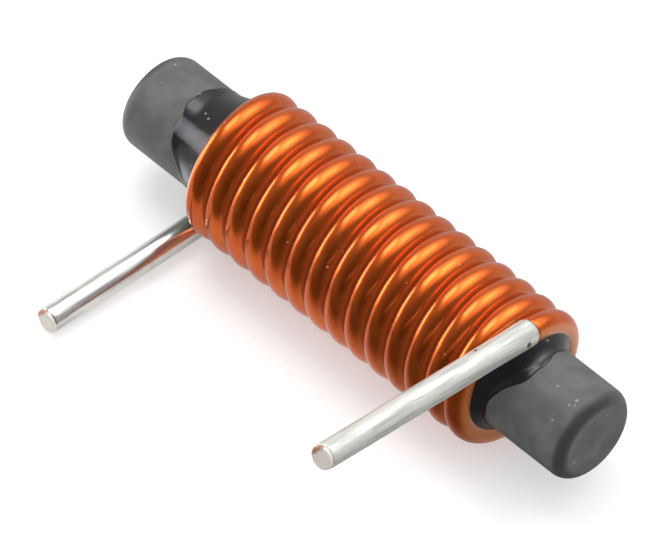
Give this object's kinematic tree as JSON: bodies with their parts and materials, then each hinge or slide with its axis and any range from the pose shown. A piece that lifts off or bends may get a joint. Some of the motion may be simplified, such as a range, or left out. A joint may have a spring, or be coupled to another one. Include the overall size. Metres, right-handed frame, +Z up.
{
  "type": "wirewound rod inductor",
  "caption": "Round ferrite rod inside a close-wound coil of enamelled copper wire, glued at both ends of the coil, with stiff tinned leads on one side.",
  "frame": {"origin": "middle of the base of the whole part, on the surface that the coil lies on", "axes": "+X along the rod, from the far lead's end to the near lead's end; +Z up; both leads point along -Y"},
  "size_m": [0.0298, 0.0178, 0.0113],
  "materials": {
    "ferrite": "fired ferrite, matt dark grey",
    "enamelled_copper": "copper under a clear amber enamel, glossy",
    "tinned_copper": "thin bright solder over copper",
    "adhesive": "black adhesive, glossy"
  },
  "bodies": {
    "root": {"ferrite_rod": "ferrite", "winding_wire": "enamelled_copper", "lead_tinning_near": "tinned_copper", "lead_tinning_far": "tinned_copper", "adhesive_bead_near": "adhesive", "adhesive_bead_far": "adhesive"}
  },
  "joints": []
}
